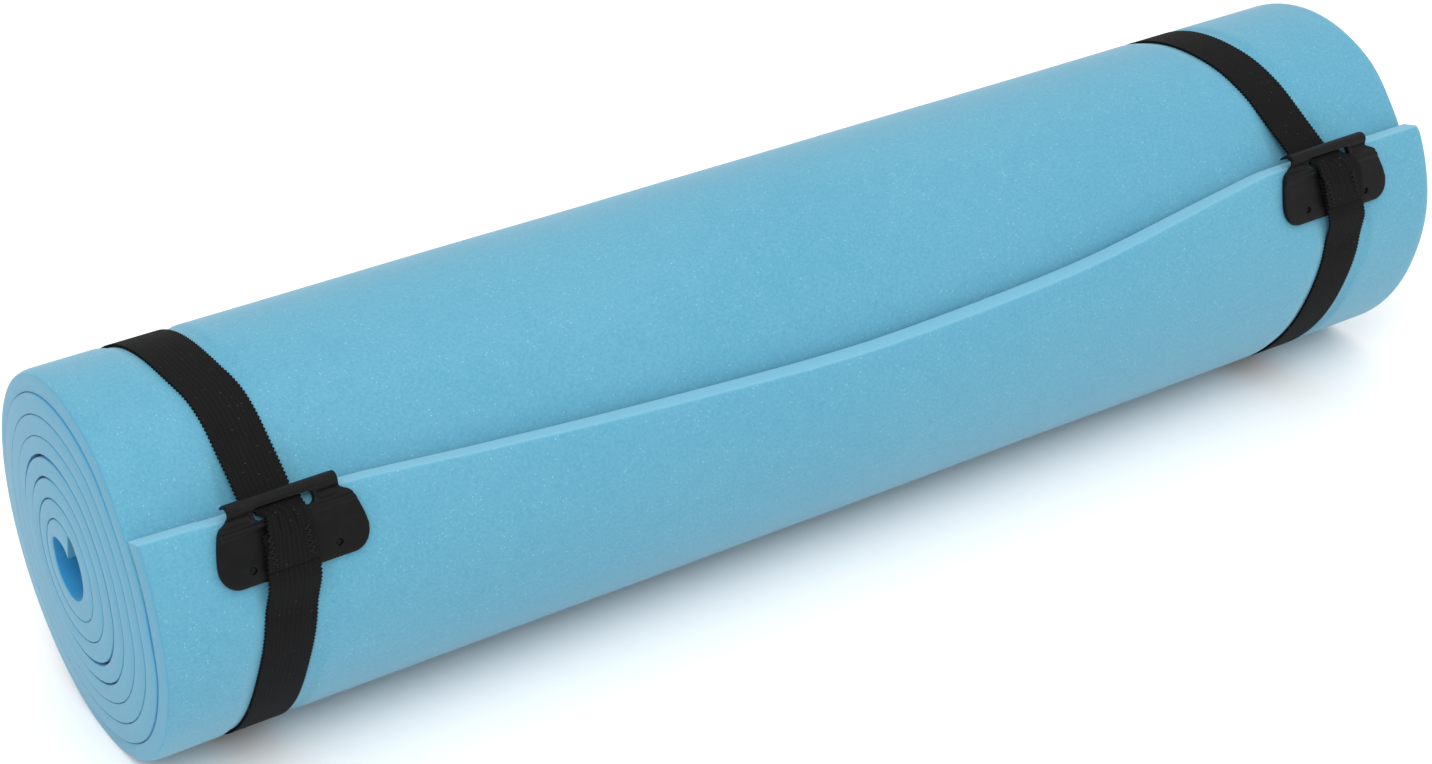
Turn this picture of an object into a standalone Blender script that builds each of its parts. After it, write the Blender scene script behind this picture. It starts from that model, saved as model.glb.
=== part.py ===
"""Rolled foam sleeping pad, held by two elastic straps in moulded clips.

Units are metres. X is the roll's axis, Z is up and z = 0 is the ground. The mat's free edge
faces -Y. Round the roll, an angle of 0 points to -Y and 90 degrees points up. The mat starts
at its free edge and winds inwards with falling angle, so a place on it is a number of turns.
"""

import math

import bmesh
import bpy
from mathutils import Matrix, Vector

MM = 0.001

# Mat
MAT_WIDTH = 500 * MM
OUTER_RADIUS = 64.5 * MM
PITCH = 6.45 * MM
LAYER_GAP = 0.3 * MM
TURNS = 7.88
STEPS_PER_TURN = 44
AXIS_HEIGHT = 62.0 * MM
EDGE_ANGLE = 35.5
EDGE_SLANT = 1.7
OVAL = 1.1 * MM
OVAL_ANGLE = 108
CORE_SHIFT = 2.5 * MM
CORE_ANGLE = 195
TELESCOPE = 3.7 * MM
CORE_CURL = 2.5 * MM
EDGE_LIFT = 1.4 * MM
EDGE_DIP = 1.6 * MM
BACK_SPACE = 1.9 * MM
BOW_CUTTER_DEPTH = 14 * MM
BOW_CUTTER_REACH = 9 * MM
BOW_CUTTER_SINK = 0.8 * MM

# Clips
CLIP_GAP = 0.3 * MM
CLIP_CENTRES = {"near": -206.5 * MM, "far": 203.0 * MM}
CLIP_TANGENT_ANGLE = 25
STUD_PLACES = (-13.8 * MM, 13.8 * MM)
STUD_S = -18.4 * MM
STUD_RADIUS = 0.8 * MM
STUD_HOLE_RADIUS = 1.1 * MM
FOAM_HOLE_RADIUS = 1.4 * MM
STUD_TOP = 1.4 * MM
STUD_ROOT = -8.2 * MM
STUD_HOLE_SPAN = (-2.0 * MM, 5.0 * MM)
FOAM_HOLE_SPAN = (-7.6 * MM, 4.0 * MM)
SLOT_LENGTH = 21.2 * MM
SLOT_HEIGHT = 4.6 * MM
SLOT_CORNER = 1.0 * MM
SLOT_CORNER_STEPS = 4
BACK_PLATE_TOP = -0.6 * MM
BACK_PLATE_BOTTOM = -22.6 * MM
BACK_PLATE_STEPS = 12
BLANK_WIDTH = 60 * MM
BLANK_DEPTH = 40 * MM
SLOT_CUTTER_DEPTH = 12 * MM

# Straps
STRAP_WIDTH = 16.6 * MM
STRAP_THICKNESS = 1.1 * MM
STRAP_GAP = 0.35 * MM
STRAP_TRAVEL = 4.0 * MM
STRAP_LANDING_ANGLE = 5.0
STRAP_LIFT_ANGLE = 60.0
LIFTED_STEPS = 5
CLIP_END_ANGLE = 40.0
STRAP_STEP = 5.0
GROOVE_START_ANGLE = 13.0
GROOVE_CUTTER_HEIGHT = 5 * MM

# Bar tacks
THREAD_RADIUS = 0.2 * MM
STITCH_POINTS = 11
STITCH_START = -10.0 * MM
STITCH_PITCH = 0.8 * MM
STITCH_SWING = 0.8 * MM
STITCH_BASE = 4.5 * MM
STITCH_ROWS = {"left": -6.0 * MM, "right": 6.0 * MM}

# The front plate's side profile, as (s, w): s runs along the mat from its free edge, positive
# past the edge, and w stands out of the mat's surface. Outer side first, from the lip's tip.
FRONT_OUTER = (
    (3.0, -2.7), (3.3, -0.8), (3.2, 1.2), (2.6, 2.8), (1.4, 3.7), (0.1, 3.4), (-1.2, 2.4),
    (-2.6, 1.9), (-4.0, 2.1), (-5.2, 2.7), (-6.4, 2.5), (-7.6, 2.1), (-15.0, 2.1), (-22.6, 2.0),
    (-23.4, 1.4),
)
FRONT_INNER = (
    (-23.4, 0.3), (-15.0, 0.3), (-8.0, 0.3), (-1.5, 0.3), (-0.6, 1.9), (0.7, 2.1), (1.8, 1.2),
    (2.2, -0.6), (2.3, -2.7),
)
# Half of the front plate's outline, as (x, s), from the ridge to the flat bottom edge.
FRONT_OUTLINE = (
    (17.6, 4.5), (17.6, 0.4), (18.3, -2.4), (20.6, -4.0), (21.9, -6.6), (23.2, -11.0),
    (24.0, -15.6), (23.6, -18.8), (22.3, -21.2), (20.4, -22.7), (18.0, -23.4),
)
BACK_OUTLINE = (
    (17.0, -0.6), (19.5, -1.6), (21.2, -5.5), (22.8, -12.0), (22.6, -18.0), (21.0, -21.0),
    (18.0, -22.6),
)
# Each strap's route through its clip, as (s, w), from behind the lip to its upper sewn end,
# and from the roll's front to its lower sewn end.
ROUTE_OUT = (
    (1.9, -4.9), (1.3, -3.4), (0.85, -2.0), (0.4, -0.2), (-0.6, 1.0), (-2.1, 1.8), (-3.5, 3.1),
    (-5.2, 3.8),
    (-7.0, 4.0), (-8.6, 4.5), (-14.0, 4.5), (-20.0, 4.5),
)
ROUTE_BACK = ((-27.5, 2.0), (-24.8, 2.9), (-22.0, 3.05), (-15.0, 3.0), (-8.2, 3.0))
# How far each strap strays along the roll, as (angle, x from its clip's centre).
STRAP_STRAY = {
    "near": (
        (35, -2.0), (15, -2.2), (-2, -4.4), (-31, -8.0), (-90, -9.6), (-180, -8.6), (-264, -6.0),
        (-290, -2.6), (-310, -2.0), (-325, -2.0),
    ),
    "far": (
        (35, -2.0), (25, 0.4), (15, 2.7), (5, 4.2), (-28, 0.4), (-90, -4.0), (-180, -8.6),
        (-255, -10.4), (-286, -7.4), (-307, -4.6), (-325, -2.0),
    ),
}
# How far the mat's free edge is drawn back along its length, as (x, depth).
EDGE_BOW = (
    (-195, 0.0), (-120, 3.2), (-45, 7.4), (13, 10.4), (62, 9.8), (100, 6.4), (145, 1.4), (180, 0.0),
)

FOAM_COLOUR = (0.13, 0.44, 0.66)
PLASTIC_COLOUR = (0.012, 0.012, 0.012)
ELASTIC_COLOUR = (0.008, 0.008, 0.009)
THREAD_COLOUR = (0.015, 0.015, 0.016)

# Maps a flat outline's own (x, y, z) to the model's (z, x, y): drawn in the Y-Z plane.
SIDE_VIEW = Matrix(((0, 0, 1, 0), (1, 0, 0, 0), (0, 1, 0, 0), (0, 0, 0, 1)))


def clear_scene():
    for obj in list(bpy.data.objects):
        bpy.data.objects.remove(obj, do_unlink=True)


def new_collection(name):
    collection = bpy.data.collections.new(name)
    bpy.context.scene.collection.children.link(collection)
    return collection


def material(name, colour, roughness):
    made = bpy.data.materials.new(name)
    made.use_nodes = True
    shader = made.node_tree.nodes["Principled BSDF"]
    shader.inputs["Base Color"].default_value = (*colour, 1.0)
    shader.inputs["Roughness"].default_value = roughness
    shader.inputs["Metallic"].default_value = 0.0
    return made


# --- the winding -------------------------------------------------------------------------------


def smooth_step(value, low, high):
    """0 below low, 1 above high and an even curve between."""
    part = min(max((value - low) / (high - low), 0.0), 1.0)
    return part * part * (3 - 2 * part)


def window(value, rise_start, rise_end, fall_start, fall_end):
    return smooth_step(value, rise_start, rise_end) * (1 - smooth_step(value, fall_start, fall_end))


def turn_angle(turn):
    """The angle round the roll, in degrees, of a place on the mat."""
    return EDGE_ANGLE - 360 * turn


def outer_radius(turn):
    """The radius of the mat's outer face at a number of turns from its free edge."""
    angle = math.radians(turn_angle(turn))
    depth = turn / (TURNS + 1)
    radius = OUTER_RADIUS - PITCH * turn
    radius += OVAL * (1 - depth) * math.cos(2 * (angle - math.radians(OVAL_ANGLE)))
    radius += CORE_SHIFT * (turn / 8) ** 4 * math.cos(angle - math.radians(CORE_ANGLE))
    if turn < 0.5:
        return radius + EDGE_LIFT * (1 - smooth_step(turn, 0.06, 0.15))
    from_clip = turn - round(turn)
    return radius - EDGE_DIP * (1 - depth) * window(from_clip, -0.08, -0.02, 0.07, 0.13)


def inner_radius(turn):
    """The radius of the mat's inner face, clear of the next turn and of the back plates."""
    space = BACK_SPACE * (1 - smooth_step(turn, 0.068, 0.12)) if turn < 0.5 else 0.0
    curl = CORE_CURL * smooth_step(turn, TURNS - 0.25, TURNS - 0.1)
    return outer_radius(turn + 1) + LAYER_GAP + space - curl


def polar(angle, radius):
    """The (y, z) of a place round the roll's axis, the angle in degrees."""
    turned = math.radians(angle)
    return -radius * math.cos(turned), radius * math.sin(turned)


def on_ground(point, clearance=0.0):
    """A (y, z) point kept above the ground, which flattens the roll's underside."""
    return point[0], max(point[1], clearance - AXIS_HEIGHT)


def mat_outline():
    """The mat seen from its end: outer face inwards, then inner face back out."""
    slant = EDGE_SLANT / 360
    count = round(TURNS * STEPS_PER_TURN)
    outer = []
    inner = []
    for step in range(count + 1):
        out_turn = slant + (TURNS - slant) * step / count
        in_turn = -slant + (TURNS + slant) * step / count
        outer.append(on_ground(polar(turn_angle(out_turn), outer_radius(out_turn))))
        inner.append(polar(turn_angle(in_turn), inner_radius(in_turn)))
    return outer + inner[::-1]


def telescope(x, y, z):
    """The roll's core stands out of its near end, so each turn is shifted along the axis."""
    share = 1 - (y * y + z * z) / OUTER_RADIUS**2
    return x - TELESCOPE * max(share, 0.0)


# --- flat outlines and their solids --------------------------------------------------------------


def flat_curve(outline, depth):
    """A filled 2D curve through the outline's points, extruded by half its depth each way."""
    curve = bpy.data.curves.new("outline", "CURVE")
    curve.dimensions = "2D"
    curve.fill_mode = "BOTH"
    curve.extrude = depth / 2
    spline = curve.splines.new("POLY")
    spline.points.add(len(outline) - 1)
    for point, (x, y) in zip(spline.points, outline):
        point.co = (x, y, 0, 1)
    spline.use_cyclic_u = True
    obj = bpy.data.objects.new("outline", curve)
    bpy.context.scene.collection.objects.link(obj)
    return obj


def curve_mesh(curve_object, matrix):
    """A welded mesh of a curve object, which is removed, with the matrix applied."""
    bpy.context.view_layer.update()
    graph = bpy.context.evaluated_depsgraph_get()
    mesh = bpy.data.meshes.new_from_object(curve_object.evaluated_get(graph))
    bpy.data.objects.remove(curve_object, do_unlink=True)
    shape = bmesh.new()
    shape.from_mesh(mesh)
    bmesh.ops.remove_doubles(shape, verts=shape.verts, dist=1e-6)
    bmesh.ops.transform(shape, matrix=matrix, verts=shape.verts)
    bmesh.ops.recalc_face_normals(shape, faces=shape.faces)
    shape.to_mesh(mesh)
    shape.free()
    return mesh


def side_prism(outline, width):
    """A solid with its (y, z) outline in the end view, as wide as given along X."""
    return curve_mesh(flat_curve(outline, width), SIDE_VIEW)


def add_part(name, mesh, location, collection, colour, roughness):
    mesh.name = name
    mesh.materials.clear()
    mesh.materials.append(material(name, colour, roughness))
    obj = bpy.data.objects.new(name, mesh)
    obj.location = location
    collection.objects.link(obj)
    mesh.shade_smooth()
    mesh.set_sharp_from_angle(angle=math.radians(30))
    return obj


def add_cutter(name, mesh, location, collection):
    obj = bpy.data.objects.new(name, mesh)
    obj.location = location
    obj.hide_render = True
    obj.display_type = "WIRE"
    collection.objects.link(obj)
    return obj


def boolean(target, cutter, operation):
    modifier = target.modifiers.new(cutter.name, "BOOLEAN")
    modifier.operation = operation
    modifier.solver = "EXACT"
    modifier.object = cutter


# --- the clip's own frame ------------------------------------------------------------------------


def clip_angle(s):
    return EDGE_ANGLE + math.degrees(s / OUTER_RADIUS)


def clip_point(s, w):
    """The (y, z) of a place on a clip: s along the mat past its edge, w out of its surface."""
    angle = clip_angle(s)
    turn = max((EDGE_ANGLE - angle) / 360, 0.0)
    return polar(angle, outer_radius(turn) + w)


def radial_frame(angle):
    """A rotation whose X is the roll's axis, Y runs up the roll's skin and Z points outwards."""
    y, z = polar(angle, 1.0)
    outward = Vector((0, y, z))
    along = Vector((1, 0, 0))
    up = outward.cross(along)
    return Matrix((along, up, outward)).transposed().to_4x4()


def outline_prism(half_outline):
    """A solid through the clip with an outline of (x, s) in millimetres, mirrored in x."""
    right = []
    for x, s in half_outline:
        rise = math.radians(clip_angle(s * MM) - CLIP_TANGENT_ANGLE)
        right.append((x * MM, (OUTER_RADIUS + 2 * MM) * math.sin(rise)))
    left = [(-x, height) for x, height in reversed(right)]
    mesh = curve_mesh(flat_curve(right + left, BLANK_DEPTH), radial_frame(CLIP_TANGENT_ANGLE))
    y, z = polar(CLIP_TANGENT_ANGLE, OUTER_RADIUS)
    mesh.transform(Matrix.Translation((0, y, z)))
    return mesh


def radial_pin(x, s, radius, low, high):
    """A round pin square to the mat, from w = low to w = high."""
    shape = bmesh.new()
    bmesh.ops.create_cone(
        shape, cap_ends=True, segments=20, radius1=radius, radius2=radius, depth=high - low
    )
    y, z = clip_point(s, (low + high) / 2)
    place = Matrix.Translation((x, y, z)) @ radial_frame(clip_angle(s))
    bmesh.ops.transform(shape, matrix=place, verts=shape.verts)
    mesh = bpy.data.meshes.new("pin")
    shape.to_mesh(mesh)
    shape.free()
    return mesh


def slot_prism():
    """The rounded slot in the channel that the strap comes out of."""
    half_x = SLOT_LENGTH / 2 - SLOT_CORNER
    half_y = SLOT_HEIGHT / 2 - SLOT_CORNER
    corners = ((half_x, half_y, 0), (-half_x, half_y, 90), (-half_x, -half_y, 180), (half_x, -half_y, 270))
    outline = []
    for x, y, start in corners:
        for step in range(SLOT_CORNER_STEPS + 1):
            turned = math.radians(start + 90 * step / SLOT_CORNER_STEPS)
            outline.append((x + SLOT_CORNER * math.cos(turned), y + SLOT_CORNER * math.sin(turned)))
    centre_s = -SLOT_HEIGHT / 2
    mesh = curve_mesh(flat_curve(outline, SLOT_CUTTER_DEPTH), radial_frame(clip_angle(centre_s)))
    y, z = clip_point(centre_s, 0.0)
    mesh.transform(Matrix.Translation((0, y, z)))
    return mesh


def back_plate_outline():
    """The back plate's side view: it fills the space between the mat's first two turns."""
    lower = []
    upper = []
    for step in range(BACK_PLATE_STEPS + 1):
        s = BACK_PLATE_TOP + (BACK_PLATE_BOTTOM - BACK_PLATE_TOP) * step / BACK_PLATE_STEPS
        turn = -math.degrees(s / OUTER_RADIUS) / 360
        lower.append(polar(clip_angle(s), outer_radius(turn + 1) + CLIP_GAP))
        upper.append(polar(clip_angle(s), inner_radius(turn) - CLIP_GAP))
    return lower + upper[::-1]


# --- the strap's route ---------------------------------------------------------------------------


def stray(side, angle):
    """How far a strap lies from its clip's centre along X, at an angle on its way round."""
    points = STRAP_STRAY[side]
    angle = min(max(angle, points[-1][0]), points[0][0])
    for (start, x_start), (end, x_end) in zip(points, points[1:]):
        if angle >= end:
            return (x_start + (x_end - x_start) * smooth_step(start - angle, 0, start - end)) * MM
    return points[-1][1] * MM


def strap_route():
    """The strap's centre line from its lower sewn end, round the roll, to its upper sewn end.

    Each point is (y, z, angle), with the angle falling all the way round.
    """
    route = []
    for s, w in reversed(ROUTE_BACK):
        route.append((*clip_point(s * MM, w * MM), clip_angle(s * MM)))
    angle = STRAP_LANDING_ANGLE
    while angle >= STRAP_LIFT_ANGLE - 360:
        radius = outer_radius((EDGE_ANGLE - angle) / 360) - STRAP_THICKNESS / 2
        y, z = on_ground(polar(angle, radius), CLIP_GAP + STRAP_THICKNESS / 2)
        route.append((y, z, angle))
        angle -= STRAP_STEP
    lift = route[-1]
    first = ROUTE_OUT[0]
    reach = (*clip_point(first[0] * MM, first[1] * MM), clip_angle(first[0] * MM) - 360)
    for step in range(1, LIFTED_STEPS):
        share = step / LIFTED_STEPS
        route.append(tuple(a + (b - a) * share for a, b in zip(lift, reach)))
    for s, w in ROUTE_OUT:
        route.append((*clip_point(s * MM, w * MM), clip_angle(s * MM) - 360))
    return route


def ribbon_mesh(side, route, width, shift=0.0):
    """An open strip along a route, as wide as given along X, facing out of the roll."""
    shape = bmesh.new()
    edge = []
    for y, z, angle in route:
        on_clip = angle < CLIP_END_ANGLE - 360
        x = stray(side, angle + 360 if on_clip else angle) + shift - width / 2
        edge.append(shape.verts.new((x, y, z)))
    lines = [shape.edges.new(pair) for pair in zip(edge, edge[1:])]
    made = bmesh.ops.extrude_edge_only(shape, edges=lines)["geom"]
    moved = [item for item in made if isinstance(item, bmesh.types.BMVert)]
    bmesh.ops.translate(shape, verts=moved, vec=(width, 0, 0))
    shape.normal_update()
    lowest = min(shape.faces, key=lambda face: face.calc_center_median().z)
    if lowest.normal.z > 0:
        bmesh.ops.reverse_faces(shape, faces=shape.faces)
    mesh = bpy.data.meshes.new("ribbon")
    shape.to_mesh(mesh)
    shape.free()
    return mesh


def thicken(obj, thickness, offset):
    """Solidify: an offset of 0 thickens both sides and 1 thickens outwards only."""
    modifier = obj.modifiers.new("thickness", "SOLIDIFY")
    modifier.thickness = thickness
    modifier.offset = offset
    modifier.use_even_offset = True


# --- parts ---------------------------------------------------------------------------------------


def make_mat(parts):
    mesh = side_prism(mat_outline(), MAT_WIDTH)
    for vertex in mesh.vertices:
        vertex.co.x = telescope(*vertex.co)
    return add_part("foam_mat", mesh, (0, 0, AXIS_HEIGHT), parts, FOAM_COLOUR, 0.75)


def make_bow_cutter(cutters):
    """The cutter that draws the mat's free edge back along the middle of its length."""
    outline = []
    for x, depth in EDGE_BOW:
        outline.append((x * MM, -depth * MM))
    outline.append((EDGE_BOW[-1][0] * MM, BOW_CUTTER_REACH))
    outline.append((EDGE_BOW[0][0] * MM, BOW_CUTTER_REACH))
    angle = EDGE_ANGLE - 2 * EDGE_SLANT
    mesh = curve_mesh(flat_curve(outline, BOW_CUTTER_DEPTH), radial_frame(angle))
    y, z = polar(angle, inner_radius(0.0) - BOW_CUTTER_SINK + BOW_CUTTER_DEPTH / 2)
    return add_cutter("cut_edge_bow", mesh, (0, y, z + AXIS_HEIGHT), cutters)


def make_front_plate(side, parts, cutters):
    """The plate with the lip, the ridge bar, the strap's slot and the leaf."""
    centre = (CLIP_CENTRES[side], 0, AXIS_HEIGHT)
    outline = [clip_point(s * MM, w * MM) for s, w in FRONT_OUTER + FRONT_INNER]
    mesh = side_prism(outline, BLANK_WIDTH)
    plate = add_part(f"{side}_clip_front", mesh, centre, parts, PLASTIC_COLOUR, 0.4)
    trim = add_cutter(f"{side}_trim_front", outline_prism(FRONT_OUTLINE), centre, cutters)
    boolean(plate, trim, "INTERSECT")
    slot = add_cutter(f"{side}_cut_slot", slot_prism(), centre, cutters)
    boolean(plate, slot, "DIFFERENCE")
    for number, x in enumerate(STUD_PLACES, 1):
        mesh = radial_pin(x, STUD_S, STUD_HOLE_RADIUS, *STUD_HOLE_SPAN)
        hole = add_cutter(f"{side}_cut_stud_hole_{number}", mesh, centre, cutters)
        boolean(plate, hole, "DIFFERENCE")


def make_back_plate(side, parts, cutters):
    """The plate under the mat's free edge, with its two studs."""
    centre = (CLIP_CENTRES[side], 0, AXIS_HEIGHT)
    mesh = side_prism(back_plate_outline(), BLANK_WIDTH)
    plate = add_part(f"{side}_clip_back", mesh, centre, parts, PLASTIC_COLOUR, 0.45)
    trim = add_cutter(f"{side}_trim_back", outline_prism(BACK_OUTLINE), centre, cutters)
    boolean(plate, trim, "INTERSECT")
    for number, x in enumerate(STUD_PLACES, 1):
        mesh = radial_pin(x, STUD_S, STUD_RADIUS, STUD_ROOT, STUD_TOP)
        stud = add_cutter(f"{side}_join_stud_{number}", mesh, centre, cutters)
        boolean(plate, stud, "UNION")


def make_strap(side, route, parts):
    """The elastic band along its route."""
    centre = (CLIP_CENTRES[side], 0, AXIS_HEIGHT)
    mesh = ribbon_mesh(side, route, STRAP_WIDTH)
    strap = add_part(f"{side}_strap", mesh, centre, parts, ELASTIC_COLOUR, 0.85)
    thicken(strap, STRAP_THICKNESS, 0)


def make_groove_cutter(side, route, cutters):
    """The cutter for the groove that the tight strap presses into the foam."""
    in_groove = [point for point in route if CLIP_END_ANGLE - 360 < point[2] < GROOVE_START_ANGLE]
    width = STRAP_WIDTH + STRAP_TRAVEL + 2 * STRAP_GAP
    mesh = ribbon_mesh(side, in_groove, width, STRAP_TRAVEL / 2)
    centre = (CLIP_CENTRES[side], 0, AXIS_HEIGHT)
    cutter = add_cutter(f"{side}_cut_groove", mesh, centre, cutters)
    depth = STRAP_THICKNESS / 2 + STRAP_GAP
    full = depth + GROOVE_CUTTER_HEIGHT
    thicken(cutter, full, (GROOVE_CUTTER_HEIGHT - depth) / full)
    return cutter


def make_stitch_row(side, name, x, parts):
    """One zigzag row of thread over the strap's sewn overlap."""
    curve = bpy.data.curves.new("thread", "CURVE")
    curve.dimensions = "3D"
    curve.bevel_depth = THREAD_RADIUS
    curve.bevel_resolution = 2
    curve.use_fill_caps = True
    spline = curve.splines.new("POLY")
    spline.points.add(STITCH_POINTS - 1)
    for index, point in enumerate(spline.points):
        s = STITCH_START - STITCH_PITCH * index
        y, z = clip_point(s, STITCH_BASE + STRAP_THICKNESS / 2 + THREAD_RADIUS + CLIP_GAP)
        swing = STITCH_SWING if index % 2 else -STITCH_SWING
        across = x + swing + stray(side, clip_angle(s))
        point.co = (across, y, z, 1)
    thread = bpy.data.objects.new("thread", curve)
    bpy.context.scene.collection.objects.link(thread)
    mesh = curve_mesh(thread, Matrix.Identity(4))
    centre = (CLIP_CENTRES[side], 0, AXIS_HEIGHT)
    return add_part(f"{side}_stitch_{name}", mesh, centre, parts, THREAD_COLOUR, 0.7)


def main():
    clear_scene()
    parts = new_collection("foam_sleeping_pad")
    cutters = new_collection("cutters")
    mat = make_mat(parts)
    boolean(mat, make_bow_cutter(cutters), "DIFFERENCE")
    route = strap_route()
    for side in CLIP_CENTRES:
        make_front_plate(side, parts, cutters)
        make_back_plate(side, parts, cutters)
        make_strap(side, route, parts)
        for name, x in STITCH_ROWS.items():
            make_stitch_row(side, name, x, parts)
        boolean(mat, make_groove_cutter(side, route, cutters), "DIFFERENCE")
        centre = (CLIP_CENTRES[side], 0, AXIS_HEIGHT)
        for number, x in enumerate(STUD_PLACES, 1):
            mesh = radial_pin(x, STUD_S, FOAM_HOLE_RADIUS, *FOAM_HOLE_SPAN)
            hole = add_cutter(f"{side}_cut_foam_hole_{number}", mesh, centre, cutters)
            boolean(mat, hole, "DIFFERENCE")


main()
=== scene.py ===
"""The looks of a rolled foam sleeping pad, held by two elastic straps in moulded clips.

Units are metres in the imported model's frame: X is the roll's axis, Z is up, z = 0 is the ground and
the mat's free edge faces -Y. Round the roll an angle of 0 degrees points to -Y and 90 points up. The
mat winds inwards with falling angle, so a place on it is a number of turns from its free edge.
On a clip, s runs along the mat's skin and is positive past its free edge, and w stands out of it.
"""

from __future__ import annotations

import logging
import math
from dataclasses import dataclass, field
from enum import Enum
from typing import Any, Callable, Sequence

import bpy
import numpy as np
from mathutils import Matrix, Vector, noise

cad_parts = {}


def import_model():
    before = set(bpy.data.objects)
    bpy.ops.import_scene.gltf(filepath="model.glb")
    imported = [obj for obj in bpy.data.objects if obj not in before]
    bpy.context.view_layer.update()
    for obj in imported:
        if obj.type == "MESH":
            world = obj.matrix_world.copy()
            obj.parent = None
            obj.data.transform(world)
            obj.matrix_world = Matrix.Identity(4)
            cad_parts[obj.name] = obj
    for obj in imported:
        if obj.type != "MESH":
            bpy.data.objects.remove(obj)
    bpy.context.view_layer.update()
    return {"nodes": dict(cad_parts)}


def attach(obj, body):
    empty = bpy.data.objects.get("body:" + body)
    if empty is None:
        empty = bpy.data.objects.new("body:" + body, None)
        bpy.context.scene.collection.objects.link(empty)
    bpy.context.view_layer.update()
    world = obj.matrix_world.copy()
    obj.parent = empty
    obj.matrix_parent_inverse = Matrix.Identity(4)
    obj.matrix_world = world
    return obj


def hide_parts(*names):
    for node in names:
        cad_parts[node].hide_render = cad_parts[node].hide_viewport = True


LOG = logging.getLogger("sleeping_pad")
MM = 0.001
Array = np.ndarray
Material = bpy.types.Material
Pair = tuple[float, float]
Pairs = tuple[Pair, ...]
Triple = tuple[float, float, float]


class Side(Enum):
    """The roll's two ends. Its core stands out of the near one."""

    NEAR = "near"
    FAR = "far"


class Row(Enum):
    """The two rows of thread that sew a strap's overlap, by their place on the strap."""

    LEFT = -6.0 * MM
    RIGHT = 6.0 * MM


# --- curves and steps ---


def smooth_step(value: Array | float, low: float, high: float) -> Array:
    """An even curve between two values.

    Args:
        value: Where it is read.
        low: Where it leaves 0.
        high: Where it reaches 1.

    Returns:
        The curve's height, from 0 to 1.
    """
    part = np.clip((np.asarray(value, float) - low) / (high - low), 0.0, 1.0)
    return part * part * (3 - 2 * part)


def window(value: Array, rise: Pair, fall: Pair) -> Array:
    """1 between a rise and a fall, and 0 outside them."""
    return smooth_step(value, *rise) * (1 - smooth_step(value, *fall))


def swell(value: Array, centre: float, reach: float) -> Array:
    """A soft bump of height 1 at its centre, and 0 beyond its reach."""
    return 1 - smooth_step(np.abs(np.asarray(value, float) - centre), 0.0, reach)


def smooth_curve(points: Sequence[Sequence[float]] | Array, samples: int) -> Array:
    """A smooth curve through points.

    Args:
        points: The points it passes through, in any number of dimensions.
        samples: How many steps it takes between two of them.

    Returns:
        The curve's points, one row each.
    """
    knots = np.asarray(points, float)
    ends = (2 * knots[:1] - knots[1:2], 2 * knots[-1:] - knots[-2:-1])
    knots = np.vstack([ends[0], knots, ends[1]])
    t = np.arange(samples)[:, None] / samples
    basis = np.hstack(
        [-t + 2 * t**2 - t**3, 2 - 5 * t**2 + 3 * t**3, t + 4 * t**2 - 3 * t**3, t**3 - t**2]
    )
    runs = [basis @ knots[i : i + 4] / 2 for i in range(len(knots) - 3)]
    return np.vstack([*runs, knots[-2:-1]])


def lengths_along(points: Array) -> Array:
    """How far along a line each of its points is."""
    return np.concatenate([[0.0], np.cumsum(np.linalg.norm(np.diff(points, axis=0), axis=1))])


def even_steps(points: Array, step: float) -> Array:
    """The same line with its points a step apart."""
    along = lengths_along(points)
    places = np.linspace(0.0, along[-1], round(along[-1] / step) + 1)
    return np.stack([np.interp(places, along, column) for column in points.T], axis=1)


# --- the bench: one object, worked with operators ---


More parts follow.
